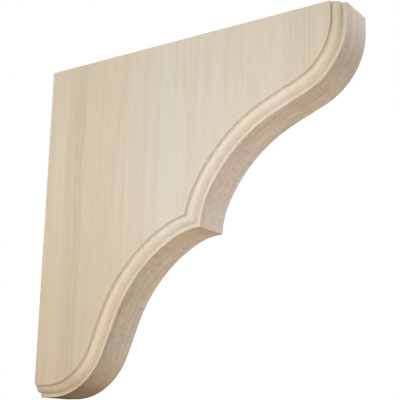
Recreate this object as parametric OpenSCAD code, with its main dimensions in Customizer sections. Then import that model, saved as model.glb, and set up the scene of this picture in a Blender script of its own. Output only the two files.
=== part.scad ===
// Wooden corbel bracket: one thick board, sawn to a double scroll and moulded
// round the scrolled edge on both broad faces.
// Frame in mm: the wall face lies in the plane y = 0 and looks along +Y, the
// bracket stands out along -Y, +Z is up and the thickness runs along X. The
// origin is the middle of the wall face.

/* [Overall] */
// How far the bracket stands out from the wall
reach = 254; // [200:1:320]
// How far the bracket runs down the wall
drop = 254; // [200:1:320]
// Thickness of the board, face to face
thickness = 44.45; // [30:0.05:70]

/* [Scrolled edge] */
// Straight run of the edge beside the top face, and beside the wall face
nose_flat = 10.4; // [4:0.1:20]
// Radius of each rounded nose
nose_radius = 50.8; // [42:0.1:61]
// Angle each nose turns through
nose_turn = 67.6; // [54:0.1:82]
// Straight run between each nose and its hollow
nose_straight = 25; // [20:0.1:30]
// Distance of the middle point from the wall
cusp_out = 139.8; // [110:0.1:170]
// Distance of the middle point below the top
cusp_drop = 139.8; // [110:0.1:170]
// Where along its turn the hollow tightens, from late to early
hollow_balance = 0.24; // [0.1:0.01:0.6]

/* [Edge moulding] */
// Step from a broad face down to the quarter round
quirk = 2.2; // [0.8:0.1:4]
// Radius of the quarter round
ovolo_radius = 5.4; // [3:0.1:8]
// Width of the flat fillet between the quarter round and the sawn edge
fillet = 3; // [1:0.1:4]

/* [Hidden] */
band = thickness - 2 * (quirk + ovolo_radius); // width left on the sawn edge
moulding = fillet + ovolo_radius;              // width of the moulding on a face
rim = moulding + 3;                            // depth of the moulded ring
spare = 6;                                     // length trimmed off by the flat faces

// The outline is laid out flat: u runs out from the wall, w runs up with the
// top face at w = 0. The lower half is the upper half with its sizes swapped,
// turned over the diagonal. A heading is the angle of the edge's outward
// normal below the horizontal: 0 looks straight away from the wall.
function out(h) = [cos(h), -sin(h)];
function along(h) = [-sin(h), -cos(h)];
function steps(h0, h1, n) = [for (i = [0 : n]) h0 + (h1 - h0) * i / n];

// The two arcs of one half's hollow, tangent to each other: it starts at p,
// where the heading is nose_turn, and ends looking away from the wall at q.
// Gives [first radius, heading where they join, second radius].
function hollow(p, q) = let (
    v = q - p,
    chord = atan2(-v[0], -v[1]),
    early = max(12, 2 * chord - nose_turn),
    late = min(nose_turn, 2 * chord),
    j = early + hollow_balance * (late - early),
    a = [cos(nose_turn) - cos(j), sin(j) - sin(nose_turn)],
    b = [cos(j) - 1, -sin(j)],
    det = a[0] * b[1] - a[1] * b[0]
) [(v[0] * b[1] - v[1] * b[0]) / det, j, (a[0] * v[1] - a[1] * v[0]) / det];

// One half of the edge, drawn in by d: from beyond the flat face at distance r
// down to the diagonal through the middle point, which lies at [a, -b].
function half_line(r, a, b, d) = let (
    nose = [r - nose_radius, -nose_flat],
    p = nose + nose_radius * out(nose_turn) + nose_straight * along(nose_turn),
    s = hollow(p, [a, -b]),
    c1 = p + s[0] * out(nose_turn),
    c2 = [a + s[2], -b],
    last = acos(s[2] / (sqrt(2) * (s[2] + d))) - 45
) concat(
    [[r - d, spare]],
    [for (h = steps(0, nose_turn, 16)) nose + (nose_radius - d) * out(h)],
    [for (h = steps(nose_turn, s[1], 12)) c1 - (s[0] + d) * out(h)],
    [for (i = [1 : 6]) c2 - (s[2] + d) * out(s[1] + (last - s[1]) * i / 6)]
);

// The whole edge, drawn in by d.
function edge(d) = let (
    upper = half_line(reach, cusp_out, cusp_drop, d),
    lower = half_line(drop, cusp_drop, cusp_out, d)
) concat(upper, [for (i = [len(lower) - 2 : -1 : 0]) [-lower[i][1], -lower[i][0]]]);

// Section of the edge as [distance in from the sawn edge, height above the
// middle of the thickness]: sawn band, fillet, quarter round and quirk.
face_side = concat(
    [[0, band / 2]],
    [for (t = steps(0, 90, 6)) [moulding - ovolo_radius * cos(t), band / 2 + ovolo_radius * sin(t)]],
    [[moulding, thickness / 2 + spare], [rim, thickness / 2 + spare]]
);
section = concat(face_side, [for (i = [len(face_side) - 1 : -1 : 0]) [face_side[i][0], -face_side[i][1]]]);

// The section carried along the whole edge.
module moulded_edge() {
    m = len(section);
    lines = [for (s = section) edge(s[0])];
    n = len(lines[0]);
    points = [for (i = [0 : n - 1]) for (k = [0 : m - 1])
        [lines[k][i][0], lines[k][i][1], section[k][1]]];
    sides = [for (i = [0 : n - 2]) for (k = [0 : m - 1])
        let (e = (k + 1) % m, p = i * m + k, q = i * m + e, r = p + m, t = q + m)
        each [[p, t, q], [p, r, t]]];
    ends = [[for (k = [0 : m - 1]) k], [for (k = [m - 1 : -1 : 0]) (n - 1) * m + k]];
    polyhedron(points = points, faces = concat(sides, ends), convexity = 8);
}

// The board inside the moulded edge.
module board() {
    line = edge((moulding + rim) / 2);
    depth = thickness + spare;
    translate([0, 0, -depth / 2]) linear_extrude(depth) polygon(concat([[-spare / 2, spare / 2]],
        [[line[0][0], spare / 2]], [for (i = [1 : len(line) - 2]) line[i]],
        [[-spare / 2, line[len(line) - 1][1]]]));
}

module bracket() {
    color([0.85, 0.74, 0.6])
    translate([0, 0, drop / 2]) rotate([90, 0, -90]) intersection() {
        union() {
            board();
            moulded_edge();
        }
        // the two broad faces, the top face and the wall face
        translate([0, -drop - spare, -thickness / 2])
            cube([reach + spare, drop + spare, thickness]);
    }
}

bracket();
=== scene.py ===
import math
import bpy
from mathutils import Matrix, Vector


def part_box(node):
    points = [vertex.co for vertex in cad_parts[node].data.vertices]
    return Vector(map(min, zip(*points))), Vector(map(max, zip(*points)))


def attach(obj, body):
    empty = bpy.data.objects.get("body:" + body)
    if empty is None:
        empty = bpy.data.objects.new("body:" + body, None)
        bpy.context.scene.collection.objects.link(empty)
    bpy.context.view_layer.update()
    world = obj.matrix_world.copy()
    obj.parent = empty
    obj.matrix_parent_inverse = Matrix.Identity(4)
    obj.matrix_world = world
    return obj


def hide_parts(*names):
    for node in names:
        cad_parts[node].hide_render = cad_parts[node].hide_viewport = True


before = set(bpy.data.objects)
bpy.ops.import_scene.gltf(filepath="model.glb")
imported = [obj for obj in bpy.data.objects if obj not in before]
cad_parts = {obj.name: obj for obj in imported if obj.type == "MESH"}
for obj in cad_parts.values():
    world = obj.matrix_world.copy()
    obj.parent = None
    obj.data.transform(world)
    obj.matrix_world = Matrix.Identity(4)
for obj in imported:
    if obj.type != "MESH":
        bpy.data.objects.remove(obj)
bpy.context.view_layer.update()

from types import SimpleNamespace

import bmesh
import bpy
from mathutils import Matrix, Vector

MM = 0.001

# ---------------------------------------------------------------- the sizes
# The same named sizes as the part's source, in mm. Reach, drop and thickness
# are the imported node's own box; angles are in degrees.
LOW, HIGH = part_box("bracket")
REACH = (HIGH[1] - LOW[1]) / MM
DROP = (HIGH[2] - LOW[2]) / MM
THICKNESS = (HIGH[0] - LOW[0]) / MM
NOSE_FLAT, NOSE_RADIUS, NOSE_TURN, NOSE_STRAIGHT = 10.4, 50.8, 67.6, 25.0
CUSP_OUT, CUSP_DROP, HOLLOW_BALANCE = 139.8, 139.8, 0.24
QUIRK, OVOLO, FILLET = 2.2, 5.4, 3.0
BAND = THICKNESS - 2 * (QUIRK + OVOLO)   # width of the sawn edge between the two mouldings
MOULDING = FILLET + OVOLO
LEAST_HOLLOW_TURN = 12

# How far the edges of the real board are worn or sanded round, in mm.
EASE_FACE = 0.3             # the broad face's edge at the quirk
EASE_BAND = (0.9, 0.35)     # where the fillet meets the sawn edge: inward, and across
EASE_END = 0.35             # the edges of the top face and the wall face

# How many steps each stretch of the outline, and of the section, is drawn in.
FLAT_STEPS, NOSE_STEPS, STRAIGHT_STEPS, HOLLOW_STEPS, CUSP_STEPS = 5, 44, 12, 44, 18
BAND_EASE_STEPS, OVOLO_STEPS, FACE_EASE_STEPS = 6, 20, 4

# Face values that the material reads.
MOULDING_TONE_AND_LIGHT = (0.12, 1.20)        # the moulding's paler tone with painted light, at the fillet and at the quirk
END_EDGE_SHADE = 0.8              # how dark the painted shade on the flat ends' eased edges is; the quirk's painted shade is 1
SLACK = 0.05                # mm, for telling which surface a face belongs to
BEVEL_ANGLE, SHARP_ANGLE = 40, 35


# ---------------------------------------------------------------- the outline
# Laid out flat as in the part's source: u runs out from the wall, w runs up
# from the top face. A heading is the angle of the edge's outward normal below
# the horizontal.
def out(h):
    return Vector((math.cos(math.radians(h)), -math.sin(math.radians(h))))


def along(h):
    return Vector((-math.sin(math.radians(h)), -math.cos(math.radians(h))))


def hollow(p, q):
    """Radii of the hollow's two arcs and the heading where they join."""
    v = q - p
    chord = math.degrees(math.atan2(-v.x, -v.y))
    early = max(LEAST_HOLLOW_TURN, 2 * chord - NOSE_TURN)
    late = min(NOSE_TURN, 2 * chord)
    j = early + HOLLOW_BALANCE * (late - early)
    ct, st = math.cos(math.radians(NOSE_TURN)), math.sin(math.radians(NOSE_TURN))
    cj, sj = math.cos(math.radians(j)), math.sin(math.radians(j))
    a, b = (ct - cj, sj - st), (cj - 1, -sj)
    det = a[0] * b[1] - a[1] * b[0]
    return (v.x * b[1] - v.y * b[0]) / det, j, (a[0] * v.y - a[1] * v.x) / det


def half_line(r, a, b, d):
    """One half of the edge, drawn in by d, from the flat face to the diagonal."""
    nose = Vector((r - NOSE_RADIUS, -NOSE_FLAT))
    p = nose + NOSE_RADIUS * out(NOSE_TURN) + NOSE_STRAIGHT * along(NOSE_TURN)
    r1, j, r2 = hollow(p, Vector((a, -b)))
    c1, c2 = p + r1 * out(NOSE_TURN), Vector((a + r2, -b))
    last = math.degrees(math.acos(r2 / (math.sqrt(2) * (r2 + d)))) - 45
    line = [Vector((r - d, -NOSE_FLAT * i / FLAT_STEPS)) for i in range(FLAT_STEPS)]
    line += [nose + (NOSE_RADIUS - d) * out(NOSE_TURN * i / NOSE_STEPS) for i in range(NOSE_STEPS)]
    end = nose + (NOSE_RADIUS - d) * out(NOSE_TURN)
    line += [end + NOSE_STRAIGHT * i / STRAIGHT_STEPS * along(NOSE_TURN)
             for i in range(STRAIGHT_STEPS)]
    line += [c1 - (r1 + d) * out(NOSE_TURN + (j - NOSE_TURN) * i / HOLLOW_STEPS)
             for i in range(HOLLOW_STEPS)]
    line += [c2 - (r2 + d) * out(j + (last - j) * i / CUSP_STEPS) for i in range(CUSP_STEPS + 1)]
    return line


def edge(d):
    """The whole edge, drawn in by d; the lower half is the upper one turned over the diagonal."""
    upper = half_line(REACH, CUSP_OUT, CUSP_DROP, d)
    lower = half_line(DROP, CUSP_DROP, CUSP_OUT, d)
    return upper + [Vector((-p.y, -p.x)) for p in reversed(lower[:-1])]


# ---------------------------------------------------------------- the section
def rounded(cx, cy, r, a0, a1, n):
    """Points on an arc from angle a0 to a1, in n steps."""
    return [(cx + r * math.cos(math.radians(a0 + (a1 - a0) * i / n)),
             cy + r * math.sin(math.radians(a0 + (a1 - a0) * i / n))) for i in range(n + 1)]


def side_section():
    """Half the section, as (distance in from the sawn edge, height above mid-thickness).

    It runs from the middle of the sawn edge to the broad face. Single points beside each
    rounding keep its shading from spreading over the flat next to it.
    """
    hb, ht = BAND / 2, THICKNESS / 2
    ei, ea = EASE_BAND
    pts = [(0, hb * t) for t in (0.0, 0.25, 0.5, 0.75)] + [(0, hb - ea - 0.4)]
    pts += [(ei * (1 + x), hb - ea * (1 - y))
            for x, y in rounded(0, 0, 1, 180, 90, BAND_EASE_STEPS)]
    pts += [(FILLET * 0.6, hb)]
    pts += rounded(MOULDING, hb, OVOLO, 180, 90, OVOLO_STEPS)
    pts += [(MOULDING, ht - EASE_FACE - 0.3)]
    pts += rounded(MOULDING + EASE_FACE, ht - EASE_FACE, EASE_FACE, 180, 90, FACE_EASE_STEPS)
    pts += [(MOULDING + EASE_FACE + 0.5, ht)]
    return pts


def to_row(u, w, s):
    """Flat layout to the row's frame, in metres."""
    return Vector((s, -u, w + DROP / 2)) * MM


def place_in_scene(name, data):
    ob = bpy.data.objects.new(name, data)
    bpy.context.scene.collection.objects.link(ob)
    return ob


def make_bracket():
    """The section swept along the outline, closed by the two broad faces and the two flat ends."""
    half = side_section()
    section = [(d, -s) for d, s in reversed(half[1:])] + half
    lines = [edge(d) for d, _ in section]
    rows, cols = len(lines[0]), len(section)
    half_t = THICKNESS / 2
    bm = bmesh.new()
    grid = [[bm.verts.new(to_row(*lines[k][i], section[k][1])) for k in range(cols)]
            for i in range(rows)]
    corner = [bm.verts.new(to_row(0, 0, -half_t)), bm.verts.new(to_row(0, 0, half_t))]
    cut = bm.faces.layers.float.new("cut")
    moulded = bm.faces.layers.float.new("moulded")
    shade = bm.faces.layers.float.new("shade")
    for i in range(rows - 1):
        for k in range(cols - 1):
            f = bm.faces.new((grid[i][k], grid[i][k + 1], grid[i + 1][k + 1], grid[i + 1][k]))
            f.smooth = True
            (d0, s0), (d1, s1) = section[k], section[k + 1]
            high = abs(s0 + s1) / 2
            f[cut] = 1.0 if max(d0, d1) < SLACK else 0.0
            # on the moulding: paler wood, with painted light that grows towards the quirk
            if min(d0, d1) > SLACK and high < half_t - QUIRK + SLACK:
                f[moulded] = MOULDING_TONE_AND_LIGHT[0] + (MOULDING_TONE_AND_LIGHT[1] - MOULDING_TONE_AND_LIGHT[0]) * (high - BAND / 2) / OVOLO
            # painted shade in the quirk, the step beside the broad face
            f[shade] = 1.0 if half_t - QUIRK - SLACK < high < half_t - EASE_FACE else 0.0
    bm.faces.new([corner[0]] + [grid[i][0] for i in range(rows)])
    bm.faces.new([corner[1]] + [grid[i][-1] for i in range(rows - 1, -1, -1)])
    bm.faces.new([corner[1]] + grid[0][::-1] + [corner[0]])
    bm.faces.new([corner[0]] + grid[-1] + [corner[1]])
    bmesh.ops.recalc_face_normals(bm, faces=bm.faces)
    ends = [e for e in bm.edges if len(e.link_faces) == 2
            and any(len(f.verts) > 4 for f in e.link_faces)
            and e.calc_face_angle(0) > math.radians(BEVEL_ANGLE)]
    eased = bmesh.ops.bevel(bm, geom=ends, offset=EASE_END * MM, segments=2, profile=0.5,
                            affect="EDGES", clamp_overlap=True)
    # painted shade along the eased edges of the flat ends
    for f in eased["faces"]:
        f[shade] = END_EDGE_SHADE
    mesh = bpy.data.meshes.new("bracket_wood")
    bm.to_mesh(mesh)
    bm.free()
    mesh.set_sharp_from_angle(angle=math.radians(SHARP_ANGLE))
    return place_in_scene("bracket_wood", mesh)


bracket = make_bracket()


# ---------------------------------------------------------------- material
# The bracket is glued up from staves that run up and down. u is mm out from
# the wall; each stave has its own tone, and its own place in the growth rings.
STAVES = [   # u where the stave starts, its colour, shift of its rings in steps of 5 mm
    (0, (1.175, 0.990, 0.735), 0.0), (19, (1.130, 0.943, 0.680), 7.0),
    (37, (1.140, 0.968, 0.725), 2.5), (75, (1.152, 0.988, 0.772), 9.5),
    (95, (1.155, 1.010, 0.810), 4.0), (108, (1.160, 1.037, 0.850), 4.6),
    (121, (1.150, 1.015, 0.830), 12.0), (133, (1.142, 0.998, 0.805), 1.5),
    (167, (1.130, 0.975, 0.770), 8.0), (183, (1.125, 0.977, 0.785), 3.2),
    (210, (1.090, 0.932, 0.720), 11.0), (226, (1.060, 0.903, 0.680), 5.5)]
MOST_SHIFT = 12.0    # the ramp that holds the shifts spans 0 to this
TONE = 0.68          # brings the stave colours to a pale wood's albedo
BRIGHTNESS = 1.01
RAMP = 256.0         # mm that a colour ramp spans

FOOT_SHADE = [     # share of the ramp down from the top, painted shade there, darker and warmer towards the foot
    (0.45, (1, 1, 1)), (0.75, (0.985, 0.955, 0.9)), (1.0, (0.965, 0.925, 0.86))]
LINES = [    # joint lines: u, half the width in mm, depth
    (76, 0.7, 0.9), (95, 0.6, 1.0), (121, 0.4, 0.5), (133, 0.3, 0.4), (164, 0.8, 1.0),
    (167.6, 0.6, 0.8), (183, 0.4, 0.3), (210, 0.4, 0.4), (226.2, 0.5, 0.7), (230, 0.5, 0.8)]
GROWTH = [   # a pair of wandering growth lines: u, depth
    (0.0, 0.0), (29.0, 0.0), (30.2, 1.0), (31.4, 0.1), (33.4, 0.0), (34.8, 0.9), (36.4, 0.0)]
SAWN_TONE_AND_LIGHT = [     # mm below the top, tone of the sawn edge there: its own hue mixed with painted light and shade
    (0, (1.06, 1.06, 1.10)), (24, (1.06, 1.07, 1.11)), (38, (0.91, 0.92, 0.94)),
    (50, (0.97, 0.98, 1.01)), (60, (1.02, 1.02, 1.02)), (72, (0.98, 1.00, 1.01)),
    (84, (1.01, 1.05, 1.07)), (112, (1.05, 1.05, 1.05)), (138, (1.05, 1.06, 1.03)),
    (142, (1.09, 1.06, 1.00)), (150, (1.02, 1.00, 0.97)), (158, (0.99, 1.01, 1.00)),
    (168, (0.96, 1.01, 1.03)), (180, (0.96, 1.02, 1.05)), (194, (0.94, 0.98, 1.01)),
    (220, (0.89, 0.92, 0.95)), (236, (0.86, 0.91, 0.96)), (248, (0.85, 0.82, 0.80))]
JOINT_DEPTH, GROWTH_DEPTH = 0.075, 0.09
RING_WIDTH = 2.6     # mm of growth a year
HEART = 64.0         # mm from mid-thickness to the heart of the tree
SPOT = (129.0, -31.0)    # u and w of the mineral streak
ROUGHNESS = (0.56, 0.7)

# Tints that multiply the wood's colour.
SAWN_LONG_AND_END = (0.83, 0.815, 0.85), (0.895, 0.79, 0.72)
SAWN_PATCHES = (1.0, 0.985, 0.995), (1.012, 0.995, 0.965)
# painted light across the sawn edge: darker by the front face, brighter and bluer by the back
SAWN_FRONT_SHADE_BACK_LIGHT = (0.97, 0.96, 0.93), (1.03, 1.035, 1.06)
# painted shade at the toe, deeper by the wall
TOE_SHADE, TOE_SHADE_BY_WALL = (0.72, 0.64, 0.60), (0.75, 0.72, 0.70)
# the moulding's paler tone with painted light, its cooler tone low down, and painted shade at the
# toe
MOULDED, MOULDED_LOW, MOULDED_FOOT_SHADE = (1.075, 1.07, 1.05), (1.0, 1.015, 1.05), (0.95, 0.90, 0.88)
SHADED = (0.89, 0.865, 0.83)
MINERAL = (0.95, 0.93, 0.84)
VEIL = (1.008, 1.0, 0.982), (0.994, 1.0, 1.014)


class Nodes:
    """Short names for the few kinds of node the wood is built from."""

    def __init__(self, tree):
        self.tree = tree

    def new(self, kind, **settings):
        n = self.tree.nodes.new(kind)
        for name, value in settings.items():
            setattr(n, name, value)
        return n

    def feed(self, socket, value):
        if isinstance(value, bpy.types.NodeSocket):
            self.tree.links.new(value, socket)
        elif socket.type == "RGBA":
            socket.default_value = (*value, 1.0)
        else:
            socket.default_value = value

    def math(self, op, a, b=0.0, c=0.0):
        n = self.new("ShaderNodeMath", operation=op)
        for socket, value in zip(n.inputs, (a, b, c)):
            self.feed(socket, value)
        return n.outputs[0]

    def blend(self, a, b, t):
        """Number a at t = 0, b at t = 1."""
        n = self.new("ShaderNodeMapRange")
        for socket, value in zip(n.inputs, (t, 0.0, 1.0, a, b)):
            self.feed(socket, value)
        return n.outputs[0]

    def span(self, value, a, b):
        """0 below a, 1 above b (or the other way round when a > b)."""
        n = self.new("ShaderNodeMapRange", interpolation_type="SMOOTHSTEP")
        for socket, v in zip(n.inputs, (value, a, b, 0.0, 1.0)):
            self.feed(socket, v)
        return n.outputs[0]

    def swing(self, value, depth):
        """A noise about 0, as deep as depth says."""
        return self.math("MULTIPLY", self.math("SUBTRACT", value, 0.5), depth)

    def noise(self, place, stretch, detail, seed):
        """Noise, 0..1, with a feature size in mm along x, y and z."""
        at = self.new("ShaderNodeMapping", vector_type="POINT")
        self.feed(at.inputs["Vector"], place)
        at.inputs["Location"].default_value = (seed, seed * 1.7, seed * 0.6)
        at.inputs["Scale"].default_value = [1 / MM / s for s in stretch]
        n = self.new("ShaderNodeTexNoise")
        self.feed(n.inputs["Vector"], at.outputs[0])
        n.inputs["Scale"].default_value = 1.0
        n.inputs["Detail"].default_value = detail
        return n.outputs[0]

    def ramp(self, value, stops, interpolation="LINEAR"):
        n = self.new("ShaderNodeValToRGB")
        self.feed(n.inputs[0], value)
        r = n.color_ramp
        r.interpolation = interpolation
        r.elements.remove(r.elements[1])
        for i, (at, colour) in enumerate(stops):
            e = r.elements[0] if i == 0 else r.elements.new(at)
            e.position = at
            e.color = (*colour, 1.0)
        return n.outputs[0]

    def tint(self, a, b, t=1.0, mode="MULTIPLY"):
        """Colour a with colour b mixed in by t."""
        n = self.new("ShaderNodeMix", data_type="RGBA", blend_type=mode)
        self.feed(n.inputs[0], t)
        self.feed(n.inputs[6], a)
        self.feed(n.inputs[7], b)
        return n.outputs[2]

    def grey(self, value):
        n = self.new("ShaderNodeCombineColor")
        for socket in n.inputs[:3]:
            self.feed(socket, value)
        return n.outputs[0]


def surface(k):
    """Where a point lies on the bracket, which way it looks, and what kind of face it is on."""
    coords = k.new("ShaderNodeTexCoord")
    place = coords.outputs["Object"]
    xyz = k.new("ShaderNodeSeparateXYZ")
    k.feed(xyz.inputs[0], place)
    u = k.math("MULTIPLY", xyz.outputs[1], -1 / MM)
    w = k.math("MULTIPLY_ADD", xyz.outputs[2], 1 / MM, -DROP / 2)
    facing = k.new("ShaderNodeSeparateXYZ")
    k.feed(facing.inputs[0], coords.outputs["Normal"])
    end = k.math("ABSOLUTE", facing.outputs[2])          # 1 where the end grain shows
    kinds = {name: k.new("ShaderNodeAttribute", attribute_name=name).outputs["Fac"]
             for name in ("cut", "moulded", "shade")}
    return SimpleNamespace(
        place=place, x=k.math("MULTIPLY", xyz.outputs[0], 1 / MM), u=u, w=w,
        across=k.math("DIVIDE", u, RAMP), down=k.math("DIVIDE", w, -RAMP), end=end,
        sawn_through=k.math("MAXIMUM", kinds["cut"], k.span(end, 0.9, 0.98)),   # with the flat ends
        **kinds)


def staves(k, at):
    """Colour of the staves, with painted shade darker towards the foot, and the shift of each one's
    rings.
    """
    tones = [(u / RAMP, [c * TONE for c in tone]) for u, tone, _ in STAVES]
    shifts = [(u / RAMP, [shift / MOST_SHIFT] * 3) for u, _, shift in STAVES]
    colour = k.ramp(at.across, tones, "CONSTANT")
    shift = k.ramp(at.across, shifts, "CONSTANT")
    return k.tint(colour, k.ramp(at.down, FOOT_SHADE)), shift


def late_wood(k, at, shift):
    """1 in the dark late wood of each growth ring.

    The rings are nearly flat to the broad face, tilted by the curve of the tree.
    """
    drift = k.noise(at.place, (26, 40, 210), 2.0, 3.0)
    uneven = k.noise(at.place, (4.5, 90, 260), 1.0, 17.0)
    sideways = k.math("PINGPONG", k.math("MULTIPLY_ADD", shift, 5 * MOST_SHIFT, at.u), 31.0)
    ring_y = k.math("SUBTRACT", sideways, 12.0)
    ring_x = k.math("ADD", at.x, HEART)
    square = k.math("MULTIPLY_ADD", ring_x, ring_x, k.math("MULTIPLY", ring_y, ring_y))
    radius = k.math("SQRT", square)
    radius = k.math("MULTIPLY_ADD", drift, 9.0, k.math("MULTIPLY_ADD", uneven, 4.0, radius))
    ring = k.math("FRACT", k.math("DIVIDE", radius, RING_WIDTH))
    return k.math("MULTIPLY", k.span(ring, 0.25, 0.85), k.span(ring, 1.0, 0.9))


def drawn_lines(k, at):
    """Darkness of the joint lines and of the wandering pair of growth lines."""
    stops = [(0.0, (0, 0, 0))]
    for u, half, depth in LINES:
        stops += [((u - half) / RAMP, (0, 0, 0)), (u / RAMP, (depth,) * 3),
                  ((u + half) / RAMP, (0, 0, 0))]
    joints = k.math("MULTIPLY", k.ramp(at.across, stops), JOINT_DEPTH)
    wander = k.math("MULTIPLY_ADD", k.noise(at.place, (500, 500, 70), 1.0, 9.0), 12.0, -6.0)
    bent = k.math("DIVIDE", k.math("ADD", at.u, wander), RAMP)
    growth = k.ramp(bent, [(u / RAMP, (depth,) * 3) for u, depth in GROWTH])
    return joints, k.math("MULTIPLY", growth, GROWTH_DEPTH)


def grain(k, at, shift, fibre, dots):
    """Everything that darkens or lightens the wood, as one factor.

    Fibres run up and down; cut across they are only dots. On the sawn edge the rings
    show as bands along the thickness, deepest beside the near moulding low down.
    """
    streak = k.noise(at.place, (4.5, 4.5, 120), 2.0, 5.0)
    pore = k.span(k.noise(at.place, (0.8, 0.8, 9), 1.0, 23.0), 0.62, 0.74)
    mottle = k.noise(at.place, (5, 5, 5), 3.0, 31.0)
    layers = k.noise(at.place, (2.4, 34, 150), 3.0, 53.0)
    patchy = k.span(k.noise(at.place, (9, 22, 22), 1.0, 61.0), 0.35, 0.65)
    beside = k.span(k.math("ABSOLUTE", k.math("ADD", at.x, 10.5)), 6.0, 2.0)
    near = k.math("MULTIPLY", k.math("MULTIPLY", beside, 0.6), k.span(at.w, -158.0, -185.0))
    sawn_depth = k.math("MULTIPLY_ADD", patchy, -0.08, k.math("MULTIPLY", near, -0.42))
    ring_depth = k.blend(-0.03, k.math("ADD", sawn_depth, -0.02), at.sawn_through)
    parts = (
        k.swing(fibre, k.blend(0.15, 0.20, at.cut)),
        k.swing(streak, 0.10),
        k.math("MULTIPLY", k.swing(layers, at.cut), 0.55),
        k.math("MULTIPLY", late_wood(k, at, shift), ring_depth),
        k.math("MULTIPLY", pore, k.blend(-0.05, -0.10, at.cut)),
        k.math("MULTIPLY", k.swing(mottle, at.sawn_through), 0.30),
        k.math("MULTIPLY", k.swing(dots, at.sawn_through), 0.35))
    factor = BRIGHTNESS
    for part in parts:
        factor = k.math("ADD", part, factor)
    for line in drawn_lines(k, at):
        factor = k.math("SUBTRACT", factor, line)
    return factor


def sawn_edge(k, at):
    """Tint of the sawn edge: darker than the face, and warmer where the end grain shows,
    with painted shade at the toe, painted light and shade along the curve, and painted light
    towards the back.
    """
    sawn = k.tint(*SAWN_LONG_AND_END, k.span(at.end, 0.1, 0.75), "MIX")
    # painted shade at the toe, darker still by the wall
    toe_shade = k.math("MULTIPLY", k.span(at.w, -236.0, -252.0), k.span(at.end, 0.6, 0.95))
    sawn = k.tint(sawn, TOE_SHADE, toe_shade)
    sawn = k.tint(sawn, TOE_SHADE_BY_WALL, k.math("MULTIPLY", toe_shade, k.span(at.u, 24.0, 12.0)))
    # the sawn edge's own hue along the curve, mixed with painted light high up and painted shade
    # low down
    sawn = k.tint(sawn, k.ramp(at.down, [(d / RAMP, tone) for d, tone in SAWN_TONE_AND_LIGHT]))
    hue = k.span(k.noise(at.place, (7, 16, 40), 2.0, 71.0), 0.3, 0.7)
    sawn = k.tint(sawn, k.tint(*SAWN_PATCHES, hue, "MIX"))
    # painted light: the sawn edge darker by the front face, brighter and bluer by the back
    return k.tint(sawn, k.tint(*SAWN_FRONT_SHADE_BACK_LIGHT, k.span(at.x, -13.0, 12.0), "MIX"))


def moulding_light_shade_and_marks(k, at, colour):
    """Tints of the moulding, the quirk and the ends' eased edges, and the marks on the face.

    The moulding is paler wood with painted light that grows towards the quirk, cooler low down,
    and with painted shade at the toe; the quirk and the ends' eased edges get painted shade.
    The face has one mineral streak, and a faint veil of warmer and cooler wood.
    """
    # the moulding's paler tone, with painted light strongest by the quirk
    colour = k.tint(colour, MOULDED, at.moulded)
    low = k.math("MULTIPLY", at.moulded, k.span(at.w, -140.0, -200.0))
    colour = k.tint(colour, MOULDED_LOW, low)
    # painted shade on the moulding at the toe
    foot = k.math("MULTIPLY", k.span(at.moulded, 0.05, 0.2), k.span(at.w, -228.0, -246.0))
    colour = k.tint(colour, MOULDED_FOOT_SHADE, foot)
    # painted shade in the quirk and along the ends' eased edges
    colour = k.tint(colour, SHADED, at.shade)
    beside = k.span(k.math("ABSOLUTE", k.math("SUBTRACT", at.u, SPOT[0])), 3.0, 0.8)
    level = k.span(k.math("ABSOLUTE", k.math("SUBTRACT", at.w, SPOT[1])), 15.0, 6.0)
    colour = k.tint(colour, MINERAL, k.math("MULTIPLY", beside, level))
    veil = k.span(k.noise(at.place, (3, 9, 110), 2.0, 83.0), 0.3, 0.7)
    return k.tint(colour, k.tint(*VEIL, veil, "MIX"))


def wood():
    mat = bpy.data.materials.new("pale_glued_wood")
    mat.use_nodes = True
    k = Nodes(mat.node_tree)
    shader = mat.node_tree.nodes["Principled BSDF"]
    at = surface(k)
    fibre = k.noise(at.place, (0.9, 0.9, 38), 3.0, 11.0)
    dots = k.noise(at.place, (1.3, 1.3, 2.4), 2.0, 41.0)
    colour, shift = staves(k, at)
    colour = k.tint(colour, sawn_edge(k, at), at.cut)
    colour = moulding_light_shade_and_marks(k, at, colour)
    colour = k.tint(colour, k.grey(grain(k, at, shift, fibre, dots)))
    k.feed(shader.inputs["Base Color"], colour)
    k.feed(shader.inputs["Roughness"], k.blend(*ROUGHNESS, fibre))
    bump = k.new("ShaderNodeBump")
    bump.inputs["Strength"].default_value = 0.25
    bump.inputs["Distance"].default_value = 0.2 * MM
    k.feed(bump.inputs["Height"], k.math("ADD", fibre, k.math("MULTIPLY", dots, at.cut)))
    k.feed(shader.inputs["Normal"], bump.outputs[0])
    return mat


bracket.data.materials.append(wood())
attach(bracket, "root")
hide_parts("bracket")


# ---------------------------------------------------------------- the studio
# Places of the camera are in mm, and of everything else in metres.
SENSOR, LENS, CAMERA_ROLL = 36.0, 86.75, 1.213
CAMERA_PLACE, CAMERA_TARGET = (-548.88, -508.41, -160.01), (-22.19, -144.68, 3.89)
FLOOR_Z, FLOOR_REACH = -1.2, 20.0   # well below, so that the bracket hangs clear
FLOOR_GLOW = 0.87       # makes the floor look as pale as the backdrop, to the camera only
MIDDLE = (0, -0.12, 0.0)
LAMPS = [   # name, azimuth (0 is straight out from the wall), rise, distance, size, power in W
    ("right_fill", 75, 30, 1.1, 0.5, 4.16),
    ("wall_side", -120, 15, 0.62, 0.25, 0.704),
    ("above", -90, 45, 0.62, 0.25, 0.272),
    ("front", -60, -15, 0.62, 0.25, 1.488),
    ("below", 0, -45, 0.62, 0.25, 0.432),
    ("nose_high", 30, 45, 0.62, 0.25, 0.6),
    ("nose_low", 60, -15, 0.62, 0.25, 0.416),
    ("behind", 170, 25, 1.1, 0.5, 3.6)]
GAIN = 1 / TONE         # makes up for the wood's lower albedo
WORLD_LIGHT, WORLD_LOOK = 0.08 * GAIN, 1.0      # what lights the scene, what the camera sees


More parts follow.
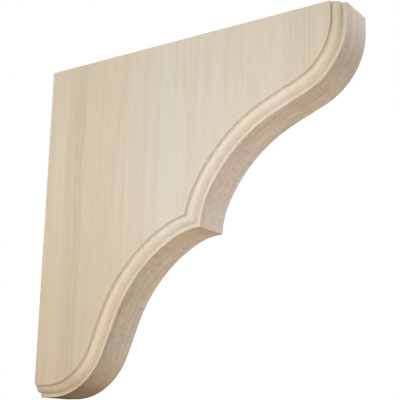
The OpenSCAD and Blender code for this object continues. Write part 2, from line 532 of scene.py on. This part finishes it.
def camera():
    cam = bpy.data.cameras.new("camera")
    cam.sensor_width = SENSOR
    cam.lens = LENS
    cam.clip_start = 0.01
    ob = place_in_scene("camera", cam)
    place, target = Vector(CAMERA_PLACE) * MM, Vector(CAMERA_TARGET) * MM
    look = (target - place).normalized()
    right = look.cross(Vector((0, 0, 1))).normalized()
    turn = Matrix((right, right.cross(look), -look)).transposed()
    roll = Matrix.Rotation(math.radians(CAMERA_ROLL), 3, "Z")
    ob.matrix_world = Matrix.Translation(place) @ (turn @ roll).to_4x4()
    bpy.context.scene.camera = ob


def floor():
    """A plain pale floor, which lights nothing by itself."""
    corners = [(sx * FLOOR_REACH, sy * FLOOR_REACH, FLOOR_Z)
               for sx, sy in ((-1, -1), (1, -1), (1, 1), (-1, 1))]
    mesh = bpy.data.meshes.new("floor")
    mesh.from_pydata(corners, [], [(0, 1, 2, 3)])
    mat = bpy.data.materials.new("pale_floor")
    mat.use_nodes = True
    k = Nodes(mat.node_tree)
    shader = mat.node_tree.nodes["Principled BSDF"]
    shader.inputs["Base Color"].default_value = (0.9, 0.9, 0.9, 1)
    shader.inputs["Roughness"].default_value = 0.8
    shader.inputs["Emission Color"].default_value = (1, 1, 1, 1)
    seen = k.new("ShaderNodeLightPath").outputs["Is Camera Ray"]
    k.feed(shader.inputs["Emission Strength"], k.math("MULTIPLY", seen, FLOOR_GLOW))
    mesh.materials.append(mat)
    place_in_scene("floor", mesh)


def lamp(name, azimuth, rise, distance, size, power):
    """A soft round lamp that looks at the middle of the bracket."""
    light = bpy.data.lights.new(name, "AREA")
    light.shape = "DISK"
    light.size = size
    light.energy = power * GAIN
    a, e = math.radians(azimuth), math.radians(rise)
    away = Vector((math.sin(a) * math.cos(e), -math.cos(a) * math.cos(e), math.sin(e)))
    ob = place_in_scene(name, light)
    ob.location = Vector(MIDDLE) + distance * away
    ob.rotation_euler = (-away).to_track_quat("-Z", "Y").to_euler()
    ob.visible_camera = False


def backdrop():
    """A white world to the camera, and a dim one to the bracket."""
    world = bpy.data.worlds.new("world")
    world.use_nodes = True
    k = Nodes(world.node_tree)
    background = world.node_tree.nodes["Background"]
    background.inputs["Color"].default_value = (1, 1, 1, 1)
    seen = k.new("ShaderNodeLightPath").outputs["Is Camera Ray"]
    k.feed(background.inputs["Strength"], k.blend(WORLD_LIGHT, WORLD_LOOK, seen))
    bpy.context.scene.world = world


camera()
floor()
for each in LAMPS:
    lamp(*each)
backdrop()
bpy.context.scene.view_settings.view_transform = "Standard"
